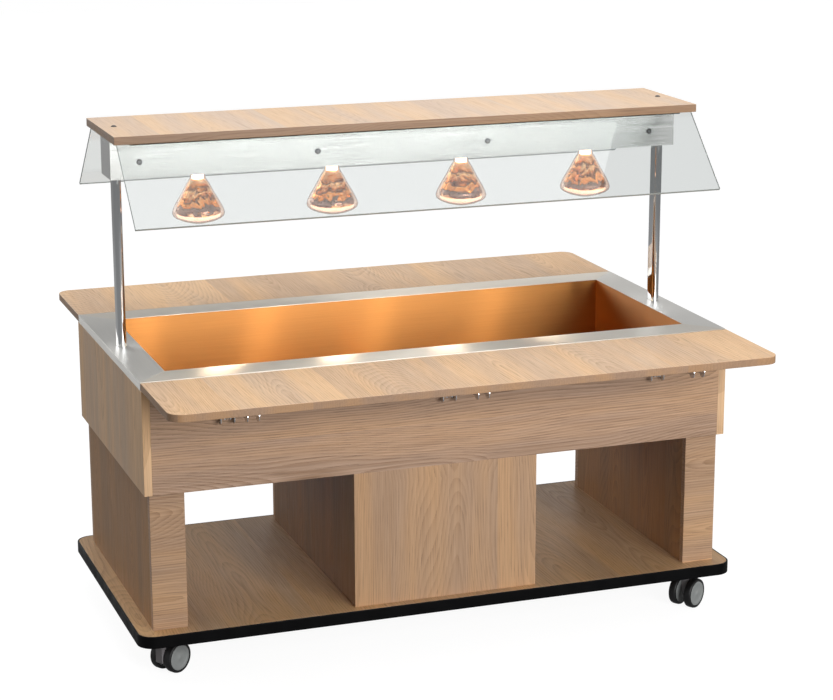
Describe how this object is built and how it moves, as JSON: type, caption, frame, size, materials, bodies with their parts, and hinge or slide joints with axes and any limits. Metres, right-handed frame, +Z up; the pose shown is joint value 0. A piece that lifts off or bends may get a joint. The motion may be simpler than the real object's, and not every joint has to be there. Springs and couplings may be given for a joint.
{
  "type": "heated buffet trolley",
  "caption": "Wheeled oak-laminate buffet trolley with a heated well, lamp canopy, two sneeze guards and folding side shelves.",
  "frame": {"origin": "on the floor under the middle of the trolley", "axes": "+X along the counter, +Z up, -Y towards the guests' side; the operator's controls and door face +Y"},
  "size_m": [1.508, 1.248, 1.249],
  "materials": {
    "oak": "satin laminate",
    "black_edging": "matt",
    "tyre": "satin",
    "grey_plastic": "satin",
    "black_plastic": "satin",
    "pilot_lens": "clear",
    "clear_glass": "polished",
    "lamp_glass": "polished, mirrored cup",
    "ceramic": "glazed ceramic",
    "chrome": "polished",
    "well_steel": "brushed",
    "mineral_wool": "matt",
    "brass": "satin",
    "lever_red": "gloss",
    "zinc_steel": "zinc plated",
    "stainless": "satin"
  },
  "bodies": {
    "cabinet": {"base_board": "oak", "base_bumper": "black_edging", "bracket_legs": "chrome", "cabinet_panels": "oak", "canopy_board": "oak", "canopy_housing": "stainless", "canopy_posts": "chrome", "canopy_screws": "chrome", "carcass_floor": "oak", "caster_plates": "zinc_steel", "control_panel": "stainless", "counter_end_rails": "stainless", "counter_long_rails": "stainless", "door_hinge_fixed_leaves": "chrome", "drain_pipe": "brass", "drain_valve": "brass", "end_panels": "oak", "front_apron": "oak", "front_glass": "clear_glass", "glass_clips": "clear_glass", "heat_lamps": "lamp_glass", "heating_plates": "zinc_steel", "lamp_holders": "ceramic", "pedestal_end_panels": "oak", "pedestal_side_panels": "oak", "pilot_lamps": "pilot_lens", "power_inlet": "black_plastic", "rear_apron": "oak", "rear_glass": "clear_glass", "switch_bezels": "black_plastic", "well_casing": "zinc_steel", "well_insulation": "mineral_wool", "well_tank": "well_steel"},
    "front_left_swivel": {"caster_front_left_hood": "grey_plastic"},
    "front_left_wheels": {"caster_front_left_tyres": "tyre", "caster_front_left_hubs": "grey_plastic"},
    "front_right_swivel": {"caster_front_right_hood": "grey_plastic"},
    "front_right_wheels": {"caster_front_right_tyres": "tyre", "caster_front_right_hubs": "grey_plastic"},
    "rear_left_swivel": {"caster_rear_left_hood": "grey_plastic"},
    "rear_left_wheels": {"caster_rear_left_tyres": "tyre", "caster_rear_left_hubs": "grey_plastic"},
    "rear_left_brake": {"caster_rear_left_pedal": "black_plastic"},
    "rear_right_swivel": {"caster_rear_right_hood": "grey_plastic"},
    "rear_right_wheels": {"caster_rear_right_tyres": "tyre", "caster_rear_right_hubs": "grey_plastic"},
    "rear_right_brake": {"caster_rear_right_pedal": "black_plastic"},
    "front_shelf_leaf": {"front_shelf": "oak", "front_bracket_arms": "chrome"},
    "front_strut_set": {"front_bracket_struts": "chrome"},
    "rear_shelf_leaf": {"rear_shelf": "oak", "rear_bracket_arms": "chrome"},
    "rear_strut_set": {"rear_bracket_struts": "chrome"},
    "door": {"cabinet_door": "oak", "door_knob": "chrome", "door_hinge_door_leaves": "chrome"},
    "thermostat": {"thermostat_knob": "black_plastic"},
    "heater_switch_key": {"heater_switch": "black_plastic"},
    "lamp_switch_key": {"lamp_switch": "black_plastic"},
    "drain_tap": {"drain_lever": "lever_red"}
  },
  "joints": [
    {"name": "front_left_swivel_turn", "type": "hinge", "parent": "cabinet", "child": "front_left_swivel", "pos_m": [-0.685, -0.29, 0.1], "axis": [0, 0, 1], "continuous": true},
    {"name": "front_left_wheel_roll", "type": "hinge", "parent": "front_left_swivel", "child": "front_left_wheels", "pos_m": [-0.66194, -0.27502, 0.0375], "axis": [-0.5446, 0.8387, 0], "continuous": true},
    {"name": "front_right_swivel_turn", "type": "hinge", "parent": "cabinet", "child": "front_right_swivel", "pos_m": [0.685, -0.29, 0.1], "axis": [0, 0, 1], "continuous": true},
    {"name": "front_right_wheel_roll", "type": "hinge", "parent": "front_right_swivel", "child": "front_right_wheels", "pos_m": [0.66194, -0.30498, 0.0375], "axis": [0.5446, -0.8387, 0], "continuous": true},
    {"name": "rear_left_swivel_turn", "type": "hinge", "parent": "cabinet", "child": "rear_left_swivel", "pos_m": [-0.685, 0.29, 0.1], "axis": [0, 0, 1], "continuous": true},
    {"name": "rear_left_wheel_roll", "type": "hinge", "parent": "rear_left_swivel", "child": "rear_left_wheels", "pos_m": [-0.66072, 0.27709, 0.0375], "axis": [0.4695, 0.8829, 0], "continuous": true},
    {"name": "rear_left_brake_pedal", "type": "hinge", "parent": "rear_left_swivel", "child": "rear_left_brake", "pos_m": [-0.70089, 0.29845, 0.079], "axis": [-0.4695, -0.8829, 0], "range_deg": [0, 12]},
    {"name": "rear_right_swivel_turn", "type": "hinge", "parent": "cabinet", "child": "rear_right_swivel", "pos_m": [0.685, 0.29, 0.1], "axis": [0, 0, 1], "continuous": true},
    {"name": "rear_right_wheel_roll", "type": "hinge", "parent": "rear_right_swivel", "child": "rear_right_wheels", "pos_m": [0.66072, 0.27709, 0.0375], "axis": [0.4695, -0.8829, 0], "continuous": true},
    {"name": "rear_right_brake_pedal", "type": "hinge", "parent": "rear_right_swivel", "child": "rear_right_brake", "pos_m": [0.70089, 0.29845, 0.079], "axis": [-0.4695, 0.8829, 0], "range_deg": [0, 12]},
    {"name": "front_shelf_fold", "type": "hinge", "parent": "cabinet", "child": "front_shelf_leaf", "pos_m": [0, -0.366, 0.69], "axis": [1, 0, 0], "range_deg": [0, 90]},
    {"name": "front_strut_swing", "type": "hinge", "parent": "cabinet", "child": "front_strut_set", "pos_m": [0, -0.366, 0.63], "axis": [1, 0, 0], "range_deg": [0, 118.7]},
    {"name": "rear_shelf_fold", "type": "hinge", "parent": "cabinet", "child": "rear_shelf_leaf", "pos_m": [0, 0.366, 0.69], "axis": [-1, 0, 0], "range_deg": [0, 90]},
    {"name": "rear_strut_swing", "type": "hinge", "parent": "cabinet", "child": "rear_strut_set", "pos_m": [0, 0.366, 0.63], "axis": [-1, 0, 0], "range_deg": [0, 118.7]},
    {"name": "door_hinge", "type": "hinge", "parent": "cabinet", "child": "door", "pos_m": [0.235, 0.351, 0.244], "axis": [0, 0, -1], "range_deg": [0, 110]},
    {"name": "thermostat_turn", "type": "hinge", "parent": "cabinet", "child": "thermostat", "pos_m": [-0.11, 0.333, 0.408], "axis": [0, -1, 0], "range_deg": [0, 270]},
    {"name": "heater_switch_rock", "type": "hinge", "parent": "cabinet", "child": "heater_switch_key", "pos_m": [-0.03, 0.335, 0.408], "axis": [1, 0, 0], "range_deg": [0, 12]},
    {"name": "lamp_switch_rock", "type": "hinge", "parent": "cabinet", "child": "lamp_switch_key", "pos_m": [0.03, 0.335, 0.408], "axis": [1, 0, 0], "range_deg": [0, 12]},
    {"name": "drain_lever_turn", "type": "hinge", "parent": "cabinet", "child": "drain_tap", "pos_m": [0, 0.025, 0.33], "axis": [0, 1, 0], "range_deg": [0, 90]}
  ],
  "couplings": [
    {"joint": "front_strut_swing", "follows": "front_shelf_fold", "ratio": 1.3179},
    {"joint": "rear_strut_swing", "follows": "rear_shelf_fold", "ratio": 1.3179}
  ]
}
